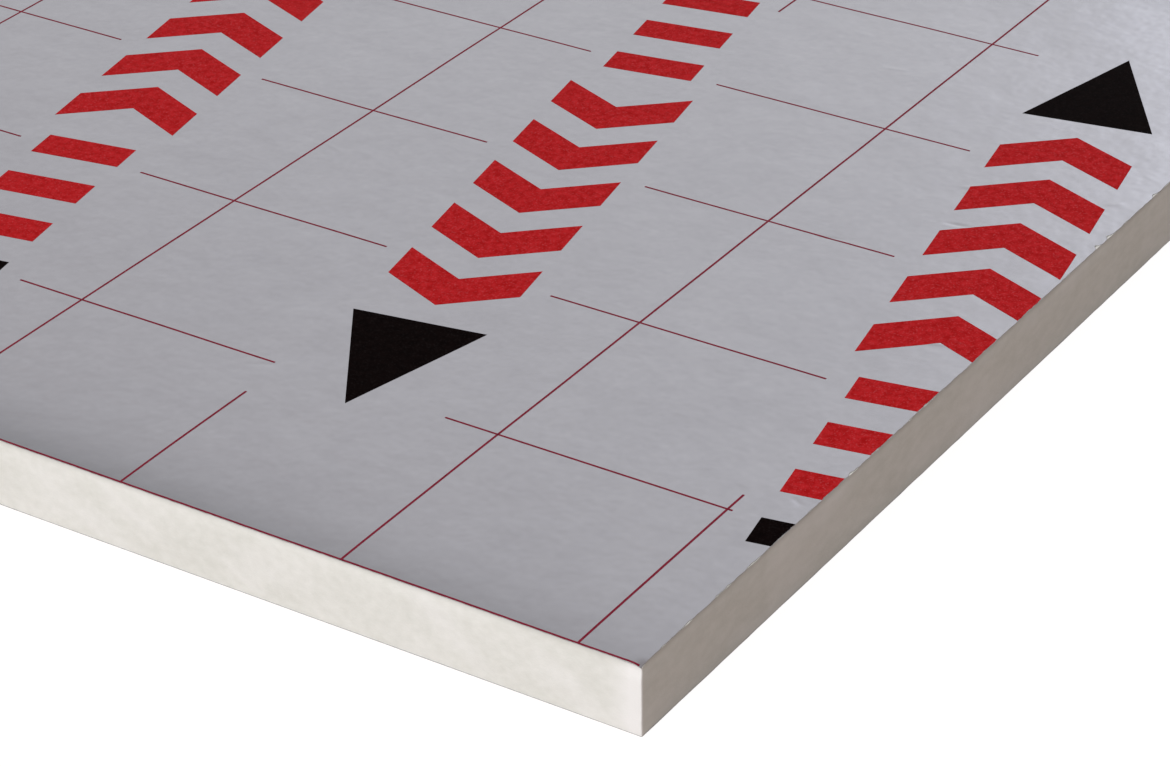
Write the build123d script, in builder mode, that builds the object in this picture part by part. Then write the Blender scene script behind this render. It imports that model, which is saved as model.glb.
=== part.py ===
from build123d import *
import os

# Polyiso insulation board: a rigid foam core between two foil facings, sawn square on all four sides.
# The board lies flat, with its length along X and its width along Y. Sizes are in millimetres,
# and the origin is at the middle of the underside.

# Driving dimensions
board_length = 1200.0
board_width = 600.0
board_thickness = 30.0
upper_facing_thickness = 0.3
under_facing_thickness = 0.3
# The saw leaves the four upright corners almost sharp
sawn_corner_radius = 0.5

# The foam fills what the two facings leave of the board's thickness
foam_thickness = board_thickness - upper_facing_thickness - under_facing_thickness
foam_underside = Plane.XY.offset(under_facing_thickness)
foam_top = Plane.XY.offset(board_thickness - upper_facing_thickness)

os.makedirs("parts", exist_ok=True)

# The three layers are bonded first and sawn together, so one outline serves them all
with BuildSketch() as sawn_outline:
    Rectangle(board_length, board_width)
    fillet(sawn_outline.vertices(), radius=sawn_corner_radius)

# The underside's foil, which the board rests on
with BuildPart() as bottom_facing:
    with BuildSketch(Plane.XY):
        add(sawn_outline.sketch_local)
    extrude(amount=under_facing_thickness)

# The foam, poured between the facings, with its cut edges bare
with BuildPart() as foam_core:
    with BuildSketch(foam_underside):
        add(sawn_outline.sketch_local)
    extrude(amount=foam_thickness)

# The upper foil, which carries the printed cutting grid
with BuildPart() as top_facing:
    with BuildSketch(foam_top):
        add(sawn_outline.sketch_local)
    extrude(amount=upper_facing_thickness)

bottom_facing.part.label = "bottom_facing"
foam_core.part.label = "foam_core"
top_facing.part.label = "top_facing"

export_step(bottom_facing.part, "parts/bottom_facing.step")
export_step(foam_core.part, "parts/foam_core.step")
export_step(top_facing.part, "parts/top_facing.step")
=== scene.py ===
import math

import bmesh
import bpy
from mathutils import Matrix, Vector, noise


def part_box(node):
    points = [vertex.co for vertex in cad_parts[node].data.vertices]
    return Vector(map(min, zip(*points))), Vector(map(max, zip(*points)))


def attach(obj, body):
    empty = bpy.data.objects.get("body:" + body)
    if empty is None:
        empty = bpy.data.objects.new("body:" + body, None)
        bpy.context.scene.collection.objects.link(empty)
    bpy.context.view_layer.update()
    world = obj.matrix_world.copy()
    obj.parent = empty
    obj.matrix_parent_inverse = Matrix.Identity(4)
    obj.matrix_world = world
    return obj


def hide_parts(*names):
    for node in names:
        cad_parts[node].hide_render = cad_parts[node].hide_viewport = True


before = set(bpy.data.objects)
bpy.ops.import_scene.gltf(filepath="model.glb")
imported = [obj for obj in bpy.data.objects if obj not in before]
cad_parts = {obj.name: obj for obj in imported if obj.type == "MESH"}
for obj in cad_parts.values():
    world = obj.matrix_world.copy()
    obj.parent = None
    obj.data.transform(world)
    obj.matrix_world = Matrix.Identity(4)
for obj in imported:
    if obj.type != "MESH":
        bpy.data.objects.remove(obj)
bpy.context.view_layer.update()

MM = 0.001

# The board, read from the frame
UNDER_LOW, UNDER_HIGH = (Vector(corner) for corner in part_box("bottom_facing"))
FOAM_LOW, FOAM_HIGH = (Vector(corner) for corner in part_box("foam_core"))
UPPER_LOW, UPPER_HIGH = (Vector(corner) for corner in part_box("top_facing"))
HALF_LENGTH = UPPER_HIGH.x
HALF_WIDTH = UPPER_HIGH.y
BOARD_TOP = UPPER_HIGH.z
FACING = UPPER_HIGH.z - UPPER_LOW.z
NEAR_CORNER = Vector((HALF_LENGTH, -HALF_WIDTH))

# What counts as one place, how near to a side its faces lie and how little their normals rise, and the
# sharpest edge that is shaded smooth
SAME_PLACE = 0.01 * MM
SIDE_REACH = 3 * MM
SIDE_RISE = 0.5
SMOOTH_ANGLE = math.radians(40)

# The view of the photograph: a long lens, looking down on the corner nearest to it
VIEW_TURN = math.radians(33.17)
VIEW_DROP = math.radians(30.27)
VIEW_ROLL = math.radians(-0.87)
VIEW_DISTANCE = 1.434
VIEW_AIM = Vector((0.4814, -0.1509, BOARD_TOP))
SENSOR_WIDTH = 36.0
LENS = 115.43
CLIP_NEAR = 0.05
CLIP_FAR = 50

# How the foil lies on the foam: gentle swells, finer ripples, and a droop along the two long edges
FOIL_CELL = 5 * MM
FOIL_REST = 0.2 * MM
SWELL_HEIGHT = 0.16 * MM
SWELL_LENGTH = 60 * MM
RIPPLE_HEIGHT = 0.046 * MM
RIPPLE_LENGTH = 17 * MM
RIPPLE_STRETCH = 2.2
EDGE_DROOP = 0.35 * MM
EDGE_DROOP_REACH = 17 * MM

# The bruised corner nearest to the view, pressed down from above
BRUISE_DEPTH = 1.0 * MM
BRUISE_REACH = 5.5 * MM
CORNER_CARE = 9 * MM
DETAIL_CUTS = 7
WORN_PRINT = 2.0 * MM

# Small creases in the foil: millimetres in from the right end and from the front edge, degrees of turn,
# millimetres long, and millimetres of rise or dent
CREASE_WIDTH = 1.3 * MM
CREASES = (
    (66, 372, 24, 20, 0.20),
    (58, 338, 8, 16, -0.22),
    (20, 246, 15, 18, 0.20),
    (12, 253, -12, 13, -0.24),
    (11, 388, 40, 12, 0.10),
    (96, 301, 18, 22, -0.12),
    (7, 118, -30, 10, -0.14),
    (151, 455, 12, 18, 0.10),
    (233, 97, 30, 16, -0.08),
    (318, 262, -20, 20, 0.08),
)

# The foil's sides as the saw left them
RAGGED = 0.4 * MM
RAGGED_LENGTH = 2.6 * MM
CHIP = 1.3 * MM
CHIP_LENGTH = 4 * MM
CHIP_FROM = 0.38
LONG_SIDE_SHARE = 0.3
UNDER_RAGGED_SHARE = 0.35
TRIM_BAND = 3 * MM
SIDE_CELL = 1.3 * MM
SIDE_CUTS = 3

# Nicks along the right end that bare the foam: millimetres from the front edge, and millimetres deep
RIGHT_END_NICKS = (
    (31, 0.4), (72, 0.5), (146, 0.7), (203, 0.6),
    (351, 1.7), (361, 1.4), (404, 1.0), (447, 0.8),
)
NICK_WIDTH = 1.7 * MM

# The foam's sawn sides
FOAM_CELL = 2 * MM
FOAM_ROWS = 16
SAW_WANDER = 0.06 * MM
SAW_WANDER_LENGTH = 90 * MM
SAW_GRAIN = 0.12 * MM
SAW_GRAIN_LENGTH = 7 * MM
SAW_GRAIN_STRETCH = 2.2
RIM_WEAR = 0.5 * MM
RIM_WEAR_LENGTH = 9 * MM
RIM_WEAR_FROM = -0.3
RIM_WEAR_CURVE = 6
UNDER_CELL = 1.5 * MM
CORNER_ROUND = 0.5 * MM
CORNER_SEGMENTS = 3
SAWN_BAND = 1.5 * CORNER_ROUND
SUNK_RIM = 6 * MM
SUNK_DEPTH = 0.9 * MM

# Where each relief is read in the noise, so that no two are alike, and the step between the ends and the
# long sides
SWELL_SEED = 3.1
RIPPLE_SEED = 7.7
RAGGED_SEED = 1.3
CHIP_SEED = 9.2
SAW_WANDER_SEED = 0
SAW_GRAIN_SEED = 4
RIM_WEAR_SEED = 11
SIDE_STEP = 3

# The printed cutting grid
GRID_PITCH = 100 * MM
GRID_LINE = 1.0 * MM
FIRST_CROSS_LINE = HALF_LENGTH - 26.1 * MM
FIRST_LONG_LINE = -HALF_WIDTH + 0.5 * MM
PRINT_MARGIN = 0.1 * MM
INK_LIFT = 0.03 * MM
INK_PITCH = 4 * MM
SHORTEST_RUN = 6 * MM

# The slanting strips that the grid leaves clear, which point to the back and to the front by turns
STRIP_LEAN = math.radians(10.2)
STRIP_REPEAT = 400 * MM
STRIP_STEPS = range(-1, 4)
STRIP_AHEAD = Vector((HALF_LENGTH - 41 * MM, -HALF_WIDTH + 377 * MM))
STRIP_BACK = Vector((HALF_LENGTH - 213.6 * MM, -HALF_WIDTH + 229 * MM))
CLEAR_WIDE = 40.0 * MM
CLEAR_NARROW = 32.8 * MM
CLEAR_STEP = -150 * MM
CLEAR_TAIL = -330 * MM
CLEAR_HEAD = 170 * MM

# The printed arrow in each strip: a black head, red chevrons behind it and a tail of bars
ARROW_WIDTH = 58 * MM
TAIL_WIDTH = 42 * MM
CHEVRON_LENGTH = 23 * MM
CHEVRON_PITCH = 42 * MM
CHEVRON_COUNT = 5
CHEVRON_SWEEP = 0.62
FIRST_CHEVRON = 48 * MM
HEAD_BASE = 74 * MM
HEAD_LENGTH = 68 * MM
BAR_LENGTH = 17 * MM
BAR_PITCH = 36 * MM
BAR_COUNT = 3
FIRST_BAR = -176 * MM

# Colours, as light sent back
FOIL_DARK = (0.598, 0.590, 0.633)
FOIL_LIGHT = (0.662, 0.653, 0.697)
# The next colour is painted shade: the darker foil along the two long edges
FOIL_EDGE_SHADE = (0.405, 0.407, 0.436)
RED_DARK = (0.312, 0.0040, 0.0048)
RED_LIGHT = (0.420, 0.0125, 0.0155)
RED_SPECK = (0.49, 0.080, 0.090)
LINE_DARK = (0.148, 0.006, 0.018)
LINE_LIGHT = (0.188, 0.011, 0.027)
BLACK_DARK = (0.0014, 0.0003, 0.0003)
BLACK_LIGHT = (0.0034, 0.0013, 0.0012)
BLACK_SPECK = (0.020, 0.016, 0.016)
FOAM_DARK = (0.755, 0.740, 0.686)
FOAM_LIGHT = (0.850, 0.830, 0.784)
# The next colour is painted light on the front side by the near corner, and the colour of the scuffs
FOAM_PALE = (0.940, 0.912, 0.890)
# The next colour is painted shade under the upper foil; it also darkens the foam towards the bottom
FOAM_TOP_SHADE_BOTTOM_DARK = (0.560, 0.540, 0.510)
CUT_DARK = (0.400, 0.392, 0.385)
CUT_LIGHT = (0.540, 0.532, 0.520)

# The painted shade that darkens the foil along its long edges, the painted shade on the foam under the
# upper foil and its darker band towards the bottom, and the painted light on the front side beside the
# near corner
EDGE_SHADE_REACH = 19 * MM
EDGE_SHADE_SHARE = 0.98
EDGE_SHADE_RIGHT_SHARE = 0.40
EDGE_SHADE_RIGHT_REACH = 300 * MM
# Painted shade on the foam under the upper foil, and a darker band of foam towards the bottom
UPPER_SHADE_DEPTH = 3.2 * MM
UPPER_SHADE = 0.9
UNDER_DARKENING_DEPTH = 2.0 * MM
UNDER_DARKENING = 0.35
SHADE_AND_DARKENING_CURVE = 2
# Painted light on the front side, brightening towards the near corner
PALE_FROM = HALF_LENGTH - 17 * MM
PALE_TO = HALF_LENGTH - 5 * MM
PALE_WANDER = 8 * MM
PALE_CURVE = 1.7
FRONT_BAND = 1 * MM
SCUFF_SLANT = 0.5
SCUFF_RANGE = (0.48, 0.72)
SCUFF_SHARE = 0.40

# The noises: scale, detail and, where it isn't plain, roughness. A scale of three numbers is one for the
# board's length, width and height. A range is the stretch of noise that is spread over the whole effect.
GRAIN_RANGE = (0.3, 0.7)
FOIL_CLOUD = (14.0, 3.0)
FOIL_PATCHES = (50.0, 3.0, 1.0)
PATCH_SHARE = 0.75
FOIL_FLECK = (300.0, 3.0, 0.6)
FOIL_CRINKLE = (40.0, 3.0, 0.6)
FOIL_ROLLED = ((30.0, 130.0, 130.0), 1.0)
ROLLED_SHARE = 0.08
CUT_LAYERS = ((150.0, 150.0, 9000.0), 2.0)
CUT_MOTTLE_SHARE = 0.4
CUT_RANGE = (0.35, 0.65)
INK_BODY = (330.0, 4.0, 0.6)
INK_RANGE = (0.36, 0.64)
INK_SPECKS = (1100.0, 1.0)
SPECK_RANGE = (0.56, 0.72)
FOAM_CLOUD = ((45.0, 28.0, 60.0), 4.0, 0.65)
FOAM_FLECK = ((230.0, 140.0, 300.0), 3.0)
FLECK_SHARE = 0.55
FOAM_RANGE = (0.34, 0.66)
FOAM_WANDER = (90.0, 2.0)
FOAM_STREAKS = ((22.0, 22.0, 70.0), 2.0)
FOAM_CELLS = 1400.0
FOAM_PITS = (420.0, 2.0)
PIT_SHARE = 0.4

# Roughness from least to most, strength and height of the bumps, and how much the matt surfaces shine
FOIL_ROUGHNESS = (0.20, 0.26)
CUT_ROUGHNESS = (0.6, 0.75)
INK_ROUGHNESS = (0.36, 0.46)
FOAM_ROUGHNESS = (0.82, 0.95)
FLOOR_ROUGHNESS = 0.9
FOIL_BUMP = (1.0, 0.45 * MM)
CUT_BUMP = (0.3, 0.05 * MM)
INK_BUMP = (0.3, 0.05 * MM)
FOAM_BUMP = (0.5, 0.12 * MM)
MATT_SHINE = 0.2
LINE_SPECK_SHARE = 0.05
LINE_SHINE = 0.05
RED_SPECK_SHARE = 0.35
RED_SHINE = 0.01
BLACK_SPECK_SHARE = 0.3
BLACK_SHINE = 0.005

# The studio: a floor that shows white, a surround that is brightest behind the board, and one large lamp
FLOOR_SIZE = 14.0
FLOOR_GAP = 0.1 * MM
FLOOR_COLOUR = (0.200, 0.132, 0.098)
FLOOR_GLOW = (0.900, 0.925, 0.937)
WHITE = (1.0, 1.0, 1.0)
BRIGHT_SIDE = (0.10, 0.85, -0.52)
SKY_FROM = -0.6
SKY_TO = 1.0
SKY_STOPS = (
    (0.00, (0.470, 0.460, 0.462)),
    (0.30, (0.368, 0.340, 0.330)),
    (0.52, (0.568, 0.566, 0.570)),
    (0.60, (0.632, 0.636, 0.642)),
    (0.66, (0.662, 0.667, 0.672)),
    (1.00, (1.100, 1.120, 1.140)),
)
WINDOW_SIDE = (0.032, 0.927, 0.375)
WINDOW_RIM = 0.911
WINDOW_MIDDLE = 0.921
WINDOW_COLOUR = (1.020, 1.040, 1.100)
LAMP_PLACE = (0.0, -3.72, 3.35)
LAMP_AIM = (0.2, -0.1, 0.0)
LAMP_SIZE = (2.0, 1.6)
LAMP_POWER = 202.0
LAMP_COLOUR = (0.985, 1.030, 1.055)


def only(piece):
    """Selects one piece and nothing else."""
    if bpy.context.object and bpy.context.object.mode != "OBJECT":
        bpy.ops.object.mode_set(mode="OBJECT")
    bpy.ops.object.select_all(action="DESELECT")
    bpy.context.view_layer.objects.active = piece
    piece.select_set(True)


def settle(piece, name):
    """Puts the piece's place into its mesh, under its own name."""
    only(piece)
    bpy.ops.object.transform_apply(location=True, rotation=True, scale=True)
    piece.name = name
    piece.data.name = name
    return piece


def joined(pieces, name):
    """Makes one piece of several."""
    only(pieces[0])
    for piece in pieces[1:]:
        piece.select_set(True)
    if len(pieces) > 1:
        bpy.ops.object.join()
    pieces[0].name = name
    pieces[0].data.name = name
    return pieces[0]


def pick(piece, kind, test):
    """In edit mode, selects the vertices, edges or faces whose place passes the test."""
    bpy.ops.mesh.select_mode(type=kind)
    bpy.ops.mesh.select_all(action="DESELECT")
    mesh = bmesh.from_edit_mesh(piece.data)
    for element in {"VERT": mesh.verts, "EDGE": mesh.edges, "FACE": mesh.faces}[kind]:
        element.select_set(test(element))
    mesh.select_flush_mode()
    bmesh.update_edit_mesh(piece.data)


def smooth_step(value):
    """Rises gently from 0 to 1 as the value does."""
    value = min(max(value, 0.0), 1.0)
    return value * value * (3 - 2 * value)


def wave(x, y, length, seed):
    """A soft random swell between about -1 and 1."""
    return noise.noise(Vector((x / length, y / length, seed)))


def raised_wave(x, y, length, seed):
    """The same swell, raised so that it seldom falls below 0."""
    return 0.5 + wave(x, y, length, seed)


def on_board(inset, up):
    """The place that is so many millimetres in from the right end and from the front edge."""
    return Vector((HALF_LENGTH - inset * MM, -HALF_WIDTH + up * MM))


def corner_press(x, y):
    """How far the bruised corner is pressed in, from 0 to 1 at its tip."""
    return max(0.0, 1 - (Vector((x, y)) - NEAR_CORNER).length / BRUISE_REACH) ** 2


def crease_rise(x, y):
    """How far the creases lift or dent the foil at a place."""
    total = 0.0
    for inset, up, turn, length, rise in CREASES:
        offset = Vector((x, y)) - on_board(inset, up)
        half = length * MM / 2
        if offset.length < 2 * half:
            along = offset.x * math.cos(math.radians(turn)) + offset.y * math.sin(math.radians(turn))
            across = offset.y * math.cos(math.radians(turn)) - offset.x * math.sin(math.radians(turn))
            fade = max(0.0, 1 - (along / half) ** 2) ** 2
            total += rise * MM * fade * math.exp(-((across / CREASE_WIDTH) ** 2))
    return total


def foil_height(x, y):
    """How far the foil's upper surface lies from the board's nominal top, which it never passes."""
    swell = SWELL_HEIGHT * wave(x, y, SWELL_LENGTH, SWELL_SEED)
    ripple = RIPPLE_HEIGHT * wave(x / RIPPLE_STRETCH, y, RIPPLE_LENGTH, RIPPLE_SEED)
    droop = EDGE_DROOP * math.exp(-(HALF_WIDTH - abs(y)) / EDGE_DROOP_REACH)
    press = BRUISE_DEPTH * corner_press(x, y)
    return min(swell + ripple + crease_rise(x, y) - FOIL_REST - droop - press, -INK_LIFT)


def side_cut(along, axis, sign):
    """How far a foil's side is eaten in at a place along it, on the long sides less than at the ends."""
    place = SIDE_STEP * axis + sign
    cut = RAGGED * raised_wave(along, place, RAGGED_LENGTH, RAGGED_SEED)
    cut += CHIP * max(0.0, wave(along, place, CHIP_LENGTH, CHIP_SEED) - CHIP_FROM)
    return max(0.0, cut) * (LONG_SIDE_SHARE if axis else 1.0)


def nick_cut(along, axis, sign):
    """How far the upper foil is torn back at the nicks along the right end."""
    if axis == 1 or sign < 0:
        return 0.0
    return sum(depth * MM * math.exp(-(((along + HALF_WIDTH - up * MM) / NICK_WIDTH) ** 2))
               for up, depth in RIGHT_END_NICKS)


def trim_sides(piece, share=1.0, margin=0.0, nicked=True):
    """Draws the piece's sides in to the ragged outline, and what lies close to them a little less."""
    for vertex in piece.data.vertices:
        place = vertex.co.copy()
        for axis, half in ((0, HALF_LENGTH), (1, HALF_WIDTH)):
            closeness = 1 - (half - abs(place[axis])) / TRIM_BAND
            if closeness > 0:
                sign = math.copysign(1, place[axis])
                cut = share * side_cut(place[1 - axis], axis, sign) + margin
                if nicked:
                    cut += nick_cut(place[1 - axis], axis, sign)
                vertex.co[axis] -= sign * cut * closeness


def refine(piece):
    """Divides the mesh finely at the bruised corner and along the creases."""
    def near_detail(face):
        place = face.calc_center_median().xy
        if (place - NEAR_CORNER).length < CORNER_CARE:
            return True
        return any((place - on_board(inset, up)).length < length * MM / 2 + CREASE_WIDTH
                   for inset, up, _, length, _ in CREASES)

    bpy.ops.object.mode_set(mode="EDIT")
    pick(piece, "FACE", near_detail)
    bpy.ops.mesh.subdivide(number_cuts=DETAIL_CUTS)
    bpy.ops.object.mode_set(mode="OBJECT")


def divide_sides(piece):
    """Divides what is still coarse along the board's sides, so that it can follow the saw."""
    def on_one_side(edge):
        first, second = (vertex.co for vertex in edge.verts)
        places = ((first.x, second.x, HALF_LENGTH), (first.y, second.y, HALF_WIDTH))
        return any(half - abs(place) < SAME_PLACE and abs(place - other) < SAME_PLACE
                   for place, other, half in places)

    bpy.ops.object.mode_set(mode="EDIT")
    pick(piece, "EDGE", lambda edge: edge.calc_length() > SIDE_CELL and on_one_side(edge))
    bpy.ops.mesh.subdivide(number_cuts=SIDE_CUTS)
    bpy.ops.object.mode_set(mode="OBJECT")


def group(name, inputs, outputs):
    """An empty shader node group with named sockets."""
    tree = bpy.data.node_groups.new(name, "ShaderNodeTree")
    for label, kind in inputs:
        tree.interface.new_socket(name=label, in_out="INPUT", socket_type=kind)
    for label, kind in outputs:
        tree.interface.new_socket(name=label, in_out="OUTPUT", socket_type=kind)
    return tree, tree.nodes.new("NodeGroupInput"), tree.nodes.new("NodeGroupOutput")


def noise_node(tree, vector, scale, detail=2.0, roughness=0.5):
    """A noise texture on the given coordinates."""
    node = tree.nodes.new("ShaderNodeTexNoise")
    tree.links.new(vector, node.inputs["Vector"])
    for label, value in (("Scale", scale), ("Detail", detail), ("Roughness", roughness)):
        node.inputs[label].default_value = value
    return node.outputs["Fac"]


def stretched_noise(tree, vector, scale, detail=2.0, roughness=0.5, slant=0.0):
    """A noise with a scale for each of the board's length, width and height, slanted up its front."""
    node = tree.nodes.new("ShaderNodeMapping")
    node.vector_type = "TEXTURE"
    tree.links.new(vector, node.inputs["Vector"])
    node.inputs["Scale"].default_value = [1 / share for share in scale]
    node.inputs["Rotation"].default_value = (0, slant, 0)
    return noise_node(tree, node.outputs["Vector"], 1.0, detail, roughness)


def axes_of(tree, place):
    """The three coordinates of a place, each by itself."""
    node = tree.nodes.new("ShaderNodeSeparateXYZ")
    tree.links.new(place, node.inputs["Vector"])
    return node.outputs


def remap(tree, value, low, high, to_low=0.0, to_high=1.0):
    """Stretches a range of values over another, and clamps it."""
    node = tree.nodes.new("ShaderNodeMapRange")
    tree.links.new(value, node.inputs["Value"])
    limits = (("From Min", low), ("From Max", high), ("To Min", to_low), ("To Max", to_high))
    for label, number in limits:
        node.inputs[label].default_value = number
    return node.outputs["Result"]


def math_node(tree, operation, *values):
    """Works out a sum on values, any of which may be a plain number."""
    node = tree.nodes.new("ShaderNodeMath")
    node.operation = operation
    for socket, value in zip(node.inputs, values):
        if isinstance(value, (int, float)):
            socket.default_value = value
        else:
            tree.links.new(value, socket)
    return node.outputs["Value"]


def blend(tree, first, share, second):
    """A mix of two values, in which the second has the share and the first has the rest."""
    rest = math_node(tree, "MULTIPLY", first, 1 - share)
    return math_node(tree, "MULTIPLY_ADD", second, share, rest)


def mix_colours(tree, share, first, second):
    """A blend of two colours by a share from 0 to 1."""
    node = tree.nodes.new("ShaderNodeMix")
    node.data_type = "RGBA"
    tree.links.new(share, node.inputs["Factor"])
    for label, colour in (("A", first), ("B", second)):
        socket = [s for s in node.inputs if s.name == label and s.type == "RGBA"][0]
        if isinstance(colour, tuple):
            socket.default_value = (*colour, 1.0)
        else:
            tree.links.new(colour, socket)
    return [s for s in node.outputs if s.type == "RGBA"][0]


def laminate_grain():
    """The laminate's fine grain: a mottle for colour, a mask for gloss and a height for the bump."""
    tree, given, made = group(
        "laminate_grain",
        [("Vector", "NodeSocketVector")],
        [("Mottle", "NodeSocketFloat"), ("Gloss", "NodeSocketFloat"), ("Height", "NodeSocketFloat")],
    )
    place = given.outputs["Vector"]
    cloud = noise_node(tree, place, *FOIL_CLOUD)
    patches = noise_node(tree, place, *FOIL_PATCHES)
    fleck = noise_node(tree, place, *FOIL_FLECK)
    crinkle = noise_node(tree, place, *FOIL_CRINKLE)
    rolled = stretched_noise(tree, place, *FOIL_ROLLED)
    tree.links.new(blend(tree, cloud, PATCH_SHARE, patches), made.inputs["Mottle"])
    tree.links.new(fleck, made.inputs["Gloss"])
    tree.links.new(blend(tree, crinkle, ROLLED_SHARE, rolled), made.inputs["Height"])
    return tree


def material(name):
    """A new material with its tree, its shader and the piece's own coordinates."""
    made = bpy.data.materials.new(name)
    made.use_nodes = True
    tree = made.node_tree
    place = tree.nodes.new("ShaderNodeTexCoord").outputs["Object"]
    return made, tree, tree.nodes["Principled BSDF"], place


def add_group(tree, group_tree, place):
    """Places a node group on the given coordinates."""
    node = tree.nodes.new("ShaderNodeGroup")
    node.node_tree = group_tree
    tree.links.new(place, node.inputs["Vector"])
    return node.outputs


def bump(tree, shader, height, strength, distance):
    """Gives the shader a bumped normal."""
    node = tree.nodes.new("ShaderNodeBump")
    node.inputs["Strength"].default_value = strength
    node.inputs["Distance"].default_value = distance
    tree.links.new(height, node.inputs["Height"])
    tree.links.new(node.outputs["Normal"], shader.inputs["Normal"])


def roughen(tree, shader, mask, least, most):
    """Lets the shader's roughness follow a mask."""
    tree.links.new(remap(tree, mask, *GRAIN_RANGE, least, most), shader.inputs["Roughness"])


def foil_material(grain):
    """Satin foil with a faint mottle, and painted shade that darkens it along the two long edges, less
    at the right end.
    """
    made, tree, shader, place = material("satin_foil")
    parts = add_group(tree, grain, place)
    axes = axes_of(tree, place)
    # Painted shade: the foil darkens towards both long edges, less so towards the right end
    inset = math_node(tree, "SUBTRACT", HALF_WIDTH, math_node(tree, "ABSOLUTE", axes["Y"]))
    fade = math_node(tree, "EXPONENT", math_node(tree, "MULTIPLY", inset, -1 / EDGE_SHADE_REACH))
    start = HALF_LENGTH - EDGE_SHADE_RIGHT_REACH
    reach = remap(tree, axes["X"], start, HALF_LENGTH, EDGE_SHADE_SHARE, EDGE_SHADE_RIGHT_SHARE)
    dull = math_node(tree, "MULTIPLY", fade, reach)
    shade = remap(tree, parts["Mottle"], *GRAIN_RANGE)
    unshaded = mix_colours(tree, shade, FOIL_DARK, FOIL_LIGHT)
    tree.links.new(mix_colours(tree, dull, unshaded, FOIL_EDGE_SHADE), shader.inputs["Base Color"])
    roughen(tree, shader, parts["Gloss"], *FOIL_ROUGHNESS)
    shader.inputs["Metallic"].default_value = 1.0
    bump(tree, shader, parts["Height"], *FOIL_BUMP)
    return made


def cut_edge_material(grain):
    """The laminate's sawn edge: dull grey, with the streaks of its layers."""
    made, tree, shader, place = material("cut_laminate_edge")
    parts = add_group(tree, grain, place)
    layers = stretched_noise(tree, place, *CUT_LAYERS)
    shade = remap(tree, blend(tree, layers, CUT_MOTTLE_SHARE, parts["Mottle"]), *CUT_RANGE)
    tree.links.new(mix_colours(tree, shade, CUT_DARK, CUT_LIGHT), shader.inputs["Base Color"])
    roughen(tree, shader, parts["Gloss"], *CUT_ROUGHNESS)
    shader.inputs["Specular IOR Level"].default_value = MATT_SHINE
    bump(tree, shader, parts["Height"], *CUT_BUMP)
    return made


def ink_material(name, grain, dark, light, speck, speck_share, shine):
    """Ink that follows the foil's grain, with fine specks where it is thin."""
    made, tree, shader, place = material(name)
    parts = add_group(tree, grain, place)
    shade = remap(tree, noise_node(tree, place, *INK_BODY), *INK_RANGE)
    body = mix_colours(tree, shade, dark, light)
    specks = remap(tree, noise_node(tree, place, *INK_SPECKS), *SPECK_RANGE, 0.0, speck_share)
    tree.links.new(mix_colours(tree, specks, body, speck), shader.inputs["Base Color"])
    roughen(tree, shader, parts["Gloss"], *INK_ROUGHNESS)
    shader.inputs["Specular IOR Level"].default_value = shine
    bump(tree, shader, parts["Height"], *INK_BUMP)
    return made


def corner_light_and_scuffs_share(tree, place, axes):
    """How far the foam is pale: painted light on the front side by the near corner, and scuffs all
    round.
    """
    wander = noise_node(tree, place, *FOAM_WANDER)
    reach = math_node(tree, "MULTIPLY_ADD", wander, PALE_WANDER, axes["X"])
    pale = remap(tree, reach, PALE_FROM + PALE_WANDER / 2, PALE_TO + PALE_WANDER / 2)
    front = math_node(tree, "LESS_THAN", axes["Y"], -HALF_WIDTH + FRONT_BAND)
    # Painted light: the front side brightens towards the near corner
    corner = math_node(tree, "MULTIPLY", math_node(tree, "POWER", pale, PALE_CURVE), front)
    streaks = stretched_noise(tree, place, *FOAM_STREAKS, slant=SCUFF_SLANT)
    scuffs = remap(tree, streaks, *SCUFF_RANGE, 0.0, SCUFF_SHARE)
    return math_node(tree, "MAXIMUM", corner, scuffs)


def top_shade_and_bottom_dark_share(tree, height):
    """How far the foam is darkened next to the facings: painted shade under the upper foil, and darker
    towards the bottom.
    """
    foam_top = FOAM_HIGH.z - FOIL_REST
    upper = remap(tree, height, foam_top - UPPER_SHADE_DEPTH, foam_top, 0.0, UPPER_SHADE)
    under = remap(tree, height, FOAM_LOW.z + UNDER_DARKENING_DEPTH, FOAM_LOW.z, 0.0, UNDER_DARKENING)
    bands = [math_node(tree, "POWER", share, SHADE_AND_DARKENING_CURVE) for share in (upper, under)]
    return math_node(tree, "MAXIMUM", *bands)


def foam_material():
    """Sawn foam with fine cells, faint clouds and scuffs, painted shade under the upper foil, darker
    towards the bottom, and painted light by the near corner.
    """
    made, tree, shader, place = material("sawn_foam")
    axes = axes_of(tree, place)
    fleck = stretched_noise(tree, place, *FOAM_FLECK)
    cloud = stretched_noise(tree, place, *FOAM_CLOUD)
    shade = remap(tree, blend(tree, cloud, FLECK_SHARE, fleck), *FOAM_RANGE)
    plain = mix_colours(tree, shade, FOAM_DARK, FOAM_LIGHT)
    # Painted light by the near corner, and the scuffs
    lit_and_scuffed = mix_colours(tree, corner_light_and_scuffs_share(tree, place, axes), plain, FOAM_PALE)
    # Painted shade under the upper foil, and darker towards the bottom
    darkened = mix_colours(tree, top_shade_and_bottom_dark_share(tree, axes["Z"]), lit_and_scuffed, FOAM_TOP_SHADE_BOTTOM_DARK)
    tree.links.new(darkened, shader.inputs["Base Color"])
    roughen(tree, shader, fleck, *FOAM_ROUGHNESS)
    shader.inputs["Specular IOR Level"].default_value = MATT_SHINE
    cells = tree.nodes.new("ShaderNodeTexVoronoi")
    cells.inputs["Scale"].default_value = FOAM_CELLS
    tree.links.new(place, cells.inputs["Vector"])
    pits = blend(tree, cells.outputs["Distance"], PIT_SHARE, noise_node(tree, place, *FOAM_PITS))
    bump(tree, shader, pits, *FOAM_BUMP)
    return made


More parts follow.
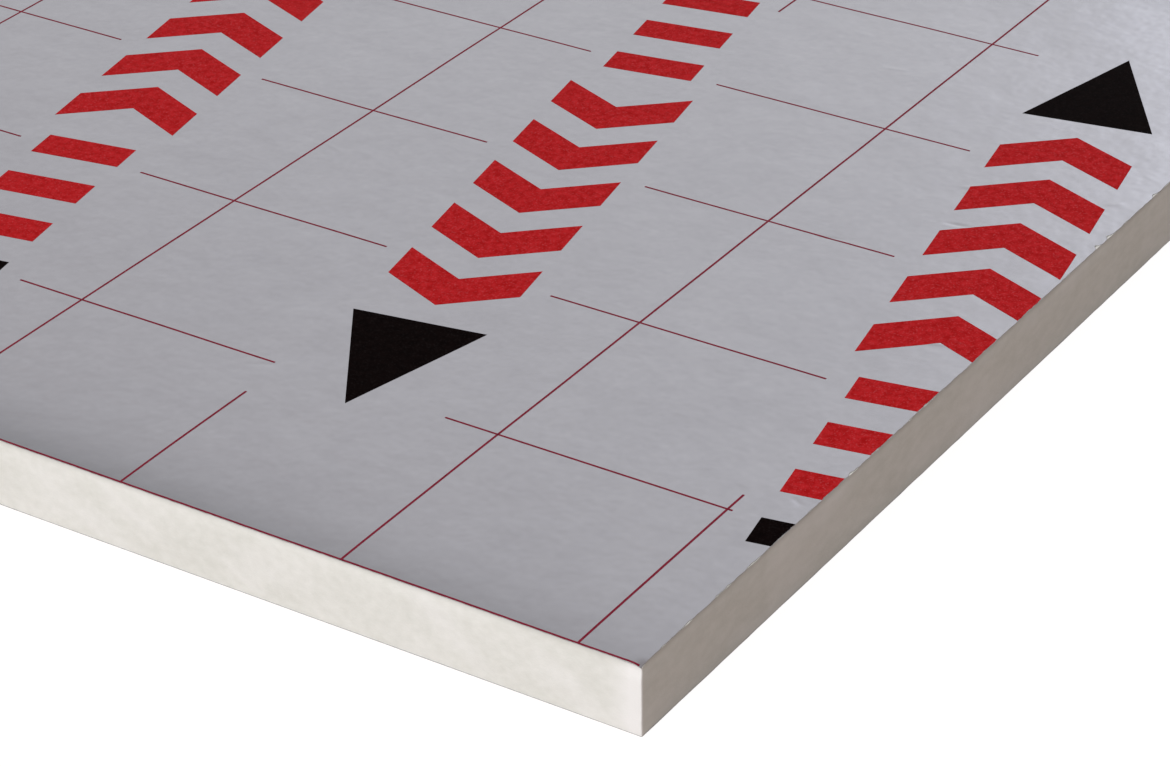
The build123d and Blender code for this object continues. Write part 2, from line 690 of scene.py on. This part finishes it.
def dress(piece, node):
    """Hides the node that the piece stands for, if there is one, and hangs the piece on the root body.
    """
    if node:
        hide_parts(node)
    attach(piece, "root")
    return piece


def finish_edges(piece, foil, cut_edge):
    """Gives the laminate its foil, and its sides the look of the sawn edge."""
    piece.data.materials.append(foil)
    piece.data.materials.append(cut_edge)
    for face in piece.data.polygons:
        outer = (HALF_LENGTH - abs(face.center.x) < SIDE_REACH
                 or HALF_WIDTH - abs(face.center.y) < SIDE_REACH)
        if outer and abs(face.normal.z) < SIDE_RISE:
            face.material_index = 1


def upper_foil(foil, cut_edge):
    """The foil on the upper face: a thin sheet, a little uneven, and ragged where it was sawn."""
    along, across = (round(2 * half / FOIL_CELL) for half in (HALF_LENGTH, HALF_WIDTH))
    bpy.ops.object.select_all(action="DESELECT")
    bpy.ops.mesh.primitive_grid_add(
        x_subdivisions=along, y_subdivisions=across, size=1, location=(0, 0, BOARD_TOP))
    piece = bpy.context.object
    piece.scale = (2 * HALF_LENGTH, 2 * HALF_WIDTH, 1)
    settle(piece, "upper_foil")
    refine(piece)
    divide_sides(piece)
    trim_sides(piece)
    for vertex in piece.data.vertices:
        vertex.co.z = BOARD_TOP + foil_height(vertex.co.x, vertex.co.y)
    only(piece)
    solid = piece.modifiers.new("thickness", "SOLIDIFY")
    solid.thickness = FACING
    solid.offset = -1
    bpy.ops.object.modifier_apply(modifier=solid.name)
    bpy.ops.object.shade_smooth_by_angle(angle=SMOOTH_ANGLE)
    finish_edges(piece, foil, cut_edge)
    return dress(piece, "top_facing")


def divide_long(piece, axis, length, cuts):
    """In edit mode, divides the edges that run along an axis for more than half of a length."""
    def runs_along(edge):
        first, second = (vertex.co for vertex in edge.verts)
        return abs(first[axis] - second[axis]) > length / 2

    pick(piece, "EDGE", runs_along)
    bpy.ops.mesh.subdivide(number_cuts=cuts)


def outline_slab(name, low, high, pitch, rows):
    """A slab of the board's outline, with its sides divided finely and its faces plain."""
    size = high - low
    bpy.ops.object.select_all(action="DESELECT")
    bpy.ops.mesh.primitive_plane_add(size=1, location=(0, 0, low.z))
    piece = bpy.context.object
    piece.scale = (size.x, size.y, 1)
    settle(piece, name)
    bpy.ops.object.mode_set(mode="EDIT")
    bpy.ops.mesh.select_all(action="SELECT")
    bpy.ops.mesh.bevel(offset=CORNER_ROUND, segments=CORNER_SEGMENTS, affect="VERTICES")
    bpy.ops.mesh.select_all(action="SELECT")
    bpy.ops.mesh.delete(type="ONLY_FACE")
    for axis in (0, 1):
        divide_long(piece, axis, size[axis], round(size[axis] / pitch) - 1)
    bpy.ops.mesh.select_all(action="SELECT")
    bpy.ops.mesh.extrude_region_move(TRANSFORM_OT_translate={"value": (0, 0, size.z)})
    if rows > 1:
        divide_long(piece, 2, size.z, rows - 1)
    for height in (low.z, high.z):
        pick(piece, "EDGE", lambda edge: all(abs(v.co.z - height) < SAME_PLACE for v in edge.verts))
        bpy.ops.mesh.edge_face_add()
    bpy.ops.mesh.select_all(action="SELECT")
    bpy.ops.mesh.normals_make_consistent(inside=False)
    bpy.ops.object.mode_set(mode="OBJECT")
    return piece


def foam_cut(along, height, axis, upper):
    """How far the saw has eaten into the foam's side, and wear into its upper rim."""
    grain_place = along / SAW_GRAIN_STRETCH
    cut = SAW_WANDER * raised_wave(along, height, SAW_WANDER_LENGTH, SAW_WANDER_SEED + axis)
    cut += SAW_GRAIN * raised_wave(grain_place, height, SAW_GRAIN_LENGTH, SAW_GRAIN_SEED + axis)
    wear = max(0, wave(along, height, RIM_WEAR_LENGTH, RIM_WEAR_SEED) - RIM_WEAR_FROM)
    return cut + RIM_WEAR * upper ** RIM_WEAR_CURVE * wear


def foam_sheet(foam):
    """The foam between the facings, with its sides as sawn, and sunk where the upper foil hides it."""
    piece = outline_slab("foam_sheet", FOAM_LOW, FOAM_HIGH, FOAM_CELL, FOAM_ROWS)
    bpy.ops.object.mode_set(mode="EDIT")
    pick(piece, "FACE", lambda face: face.calc_center_median().z > FOAM_HIGH.z - SAME_PLACE)
    bpy.ops.mesh.extrude_region_move(TRANSFORM_OT_translate={"value": (0, 0, -SUNK_DEPTH)})
    shrink = (1 - SUNK_RIM / HALF_LENGTH, 1 - SUNK_RIM / HALF_WIDTH, 1)
    bpy.ops.transform.resize(value=shrink, center_override=(0, 0, 0))
    bpy.ops.object.mode_set(mode="OBJECT")
    middle = (FOAM_LOW.z + FOAM_HIGH.z) / 2
    for vertex in piece.data.vertices:
        x, y, z = vertex.co
        upper = smooth_step((z - middle) / (FOAM_HIGH.z - SUNK_DEPTH - middle))
        for axis, half in ((0, HALF_LENGTH), (1, HALF_WIDTH)):
            if half - abs(vertex.co[axis]) < SAWN_BAND:
                cut = foam_cut(vertex.co[1 - axis], z, axis, upper)
                vertex.co[axis] -= math.copysign(max(cut, 0), vertex.co[axis])
        vertex.co.z += upper * foil_height(vertex.co.x, vertex.co.y)
    only(piece)
    bpy.ops.object.shade_smooth_by_angle(angle=SMOOTH_ANGLE)
    piece.data.materials.append(foam)
    return dress(piece, "foam_core")


def under_foil(foil, cut_edge):
    """The plain foil on the underside, flat on the ground."""
    piece = outline_slab("under_foil", UNDER_LOW, UNDER_HIGH, UNDER_CELL, 1)
    trim_sides(piece, share=UNDER_RAGGED_SHARE, nicked=False)
    finish_edges(piece, foil, cut_edge)
    return dress(piece, "bottom_facing")


def strips():
    """Each clear strip: its middle, and 1 where it points to the back or -1 where it is turned round."""
    return [(centre - Vector((step * STRIP_REPEAT, 0)), facing)
            for centre, facing in ((STRIP_AHEAD, 1), (STRIP_BACK, -1)) for step in STRIP_STEPS]


def in_strip(x, y, centre, facing):
    """Whether a point lies in a clear strip, which is narrower beside the tail."""
    offset = Vector((x, y)) - centre
    along = facing * offset.y / math.cos(STRIP_LEAN)
    beside = abs(offset.x + math.tan(STRIP_LEAN) * offset.y)
    half = CLEAR_WIDE if along > CLEAR_STEP else CLEAR_NARROW
    return CLEAR_TAIL < along < CLEAR_HEAD and beside < half


def unprinted(point):
    """Whether a grid line is left out at a place, in a clear strip or where the corner is worn."""
    if (point.xy - NEAR_CORNER).length < WORN_PRINT:
        return True
    return any(in_strip(point.x, point.y, centre, facing) for centre, facing in strips())


def line_runs(start, end):
    """The stretches of a grid line that are printed."""
    count = round((end - start).length / MM)
    runs, begin = [], None
    for step in range(count + 1):
        point = start.lerp(end, step / count)
        blocked = unprinted(point)
        if begin is None and not blocked:
            begin = point
        if begin is not None and (blocked or step == count):
            if (point - begin).length > SHORTEST_RUN:
                runs.append((begin, point))
            begin = None
    return runs


def ink_patch(length, width):
    """A flat patch of ink, lying along X, divided finely enough to follow the foil."""
    along, across = (max(1, round(size / INK_PITCH)) for size in (length, width))
    bpy.ops.object.select_all(action="DESELECT")
    bpy.ops.mesh.primitive_grid_add(x_subdivisions=along, y_subdivisions=across, size=1)
    piece = bpy.context.object
    piece.scale = (length, width, 1)
    return settle(piece, "ink_patch")


def lay_ink(patches, name, ink):
    """Joins patches of ink, trims them at the board's sides and lays them on the foil."""
    piece = joined(patches, name)
    bpy.ops.object.mode_set(mode="EDIT")
    for side in (Vector((1, 0, 0)), Vector((-1, 0, 0)), Vector((0, 1, 0)), Vector((0, -1, 0))):
        reach = HALF_LENGTH if side.x else HALF_WIDTH
        bpy.ops.mesh.select_all(action="SELECT")
        bpy.ops.mesh.bisect(plane_co=side * reach, plane_no=side, clear_outer=True)
    bpy.ops.mesh.select_all(action="SELECT")
    bpy.ops.mesh.remove_doubles(threshold=SAME_PLACE)
    bpy.ops.object.mode_set(mode="OBJECT")
    refine(piece)
    divide_sides(piece)
    trim_sides(piece, margin=PRINT_MARGIN)
    for vertex in piece.data.vertices:
        vertex.co.z = BOARD_TOP + foil_height(vertex.co.x, vertex.co.y) + INK_LIFT
    piece.data.materials.append(ink)
    return dress(piece, None)


def cutting_grid(ink):
    """The printed grid of fine lines, a hundred millimetres apart both ways."""
    lines = []
    x = FIRST_CROSS_LINE
    while x > -HALF_LENGTH:
        lines.append((Vector((x, -HALF_WIDTH)), Vector((x, HALF_WIDTH))))
        x -= GRID_PITCH
    y = FIRST_LONG_LINE
    while y < HALF_WIDTH:
        lines.append((Vector((-HALF_LENGTH, y)), Vector((HALF_LENGTH, y))))
        y += GRID_PITCH
    patches = []
    for start, end in lines:
        for begin, stop in line_runs(start, end):
            run = stop - begin
            patch = ink_patch(run.length, GRID_LINE)
            turn = Matrix.Rotation(math.atan2(run.y, run.x), 4, "Z")
            patch.data.transform(Matrix.Translation(begin.lerp(stop, 0.5).to_3d()) @ turn)
            patches.append(patch)
    return lay_ink(patches, "cutting_grid_lines", ink)


def chevron(at):
    """A bar bent to a point at its middle."""
    patch = ink_patch(CHEVRON_LENGTH, ARROW_WIDTH)
    for vertex in patch.data.vertices:
        vertex.co.x += at - CHEVRON_SWEEP * abs(vertex.co.y)
    return patch


def arrow_head(at):
    """A solid triangle."""
    patch = ink_patch(HEAD_LENGTH, ARROW_WIDTH)
    for vertex in patch.data.vertices:
        vertex.co.y *= 0.5 - vertex.co.x / HEAD_LENGTH
        vertex.co.x += at + HEAD_LENGTH / 2
    return patch


def bar(at):
    """A plain cross bar of the tail."""
    patch = ink_patch(BAR_LENGTH, TAIL_WIDTH)
    patch.data.transform(Matrix.Translation((at, 0, 0)))
    return patch


def arrows(red, black):
    """The printed arrows, one in each strip, turned about from one strip to the next."""
    reds, blacks = [], []
    for centre, facing in strips():
        red_patches = [chevron(FIRST_CHEVRON - i * CHEVRON_PITCH) for i in range(CHEVRON_COUNT)]
        red_patches += [bar(FIRST_BAR - i * BAR_PITCH) for i in range(BAR_COUNT)]
        black_patches = [arrow_head(HEAD_BASE), bar(FIRST_BAR - BAR_COUNT * BAR_PITCH)]
        turn = Matrix.Rotation(STRIP_LEAN + facing * math.pi / 2, 4, "Z")
        for patch in red_patches + black_patches:
            patch.data.transform(Matrix.Translation(centre.to_3d()) @ turn)
        reds += red_patches
        blacks += black_patches
    return lay_ink(reds, "red_arrow_print", red), lay_ink(blacks, "black_arrow_print", black)


def floor():
    """A pale floor that shows white, keeps the board's shadow and can be looked through from below."""
    bpy.ops.object.select_all(action="DESELECT")
    bpy.ops.mesh.primitive_plane_add(size=FLOOR_SIZE, location=(0, 0, UNDER_LOW.z - FLOOR_GAP))
    ground = settle(bpy.context.object, "studio_floor")
    made, tree, shader, _ = material("pale_floor")
    shader.inputs["Base Color"].default_value = (*FLOOR_COLOUR, 1)
    shader.inputs["Roughness"].default_value = FLOOR_ROUGHNESS
    shader.inputs["Specular IOR Level"].default_value = 0.0
    shader.inputs["Emission Color"].default_value = (*FLOOR_GLOW, 1)
    path = tree.nodes.new("ShaderNodeLightPath")
    seen = math_node(tree, "MAXIMUM", path.outputs["Is Camera Ray"], path.outputs["Is Glossy Ray"])
    seen = math_node(tree, "MAXIMUM", seen, path.outputs["Is Transmission Ray"])
    tree.links.new(seen, shader.inputs["Emission Strength"])
    sides = tree.nodes.new("ShaderNodeMixShader")
    tree.links.new(tree.nodes.new("ShaderNodeNewGeometry").outputs["Backfacing"], sides.inputs["Fac"])
    tree.links.new(shader.outputs["BSDF"], sides.inputs[1])
    tree.links.new(tree.nodes.new("ShaderNodeBsdfTransparent").outputs["BSDF"], sides.inputs[2])
    tree.links.new(sides.outputs["Shader"], tree.nodes["Material Output"].inputs["Surface"])
    ground.data.materials.append(made)


def facing_share(tree, direction, side, low, high):
    """How nearly a direction faces a side of the studio, from 0 to 1."""
    node = tree.nodes.new("ShaderNodeVectorMath")
    node.operation = "DOT_PRODUCT"
    tree.links.new(direction, node.inputs[0])
    node.inputs[1].default_value = side
    return remap(tree, node.outputs["Value"], low, high)


def surround():
    """A soft surround, brighter behind the board, with one wide window, and white to the camera."""
    world = bpy.data.worlds.new("studio_surround")
    bpy.context.scene.world = world
    world.use_nodes = True
    tree = world.node_tree
    direction = tree.nodes.new("ShaderNodeTexCoord").outputs["Generated"]
    ramp = tree.nodes.new("ShaderNodeValToRGB")
    tree.links.new(facing_share(tree, direction, BRIGHT_SIDE, SKY_FROM, SKY_TO), ramp.inputs["Fac"])
    stops = ramp.color_ramp.elements
    while len(stops) < len(SKY_STOPS):
        stops.new(0.5)
    for stop, (place, colour) in zip(stops, SKY_STOPS):
        stop.position = place
        stop.color = (*colour, 1)
    window = facing_share(tree, direction, WINDOW_SIDE, WINDOW_RIM, WINDOW_MIDDLE)
    sky = mix_colours(tree, window, ramp.outputs["Color"], WINDOW_COLOUR)
    camera_ray = tree.nodes.new("ShaderNodeLightPath").outputs["Is Camera Ray"]
    tree.links.new(mix_colours(tree, camera_ray, sky, WHITE), tree.nodes["Background"].inputs["Color"])


def lamp():
    """One large soft lamp, high and straight in front of the board."""
    light = bpy.data.lights.new("key_softbox", "AREA")
    light.shape = "RECTANGLE"
    light.size, light.size_y = LAMP_SIZE
    light.energy = LAMP_POWER
    light.color = LAMP_COLOUR
    holder = bpy.data.objects.new("key_softbox", light)
    bpy.context.collection.objects.link(holder)
    holder.location = LAMP_PLACE
    holder.rotation_euler = (Vector(LAMP_AIM) - Vector(LAMP_PLACE)).to_track_quat("-Z", "Y").to_euler()


def camera():
    """The photograph's view."""
    lens = bpy.data.cameras.new("camera")
    lens.sensor_width = SENSOR_WIDTH
    lens.lens = LENS
    lens.clip_start = CLIP_NEAR
    lens.clip_end = CLIP_FAR
    holder = bpy.data.objects.new("camera", lens)
    bpy.context.collection.objects.link(holder)
    raise_up = Matrix.Rotation(math.pi / 2 - VIEW_DROP, 4, "X")
    turn = Matrix.Rotation(VIEW_TURN, 4, "Z") @ raise_up @ Matrix.Rotation(VIEW_ROLL, 4, "Z")
    holder.matrix_world = Matrix.Translation(VIEW_AIM + turn @ Vector((0, 0, VIEW_DISTANCE))) @ turn
    bpy.context.scene.camera = holder


grain = laminate_grain()
foil = foil_material(grain)
cut_edge = cut_edge_material(grain)
foam_sheet(foam_material())
under_foil(foil, cut_edge)
upper_foil(foil, cut_edge)
line_ink = ink_material(
    "red_line_ink", grain, LINE_DARK, LINE_LIGHT, RED_SPECK, LINE_SPECK_SHARE, LINE_SHINE)
red_ink = ink_material(
    "red_ink", grain, RED_DARK, RED_LIGHT, RED_SPECK, RED_SPECK_SHARE, RED_SHINE)
black_ink = ink_material(
    "black_ink", grain, BLACK_DARK, BLACK_LIGHT, BLACK_SPECK, BLACK_SPECK_SHARE, BLACK_SHINE)
cutting_grid(line_ink)
arrows(red_ink, black_ink)

floor()
surround()
lamp()
camera()
bpy.context.scene.view_settings.view_transform = "Standard"
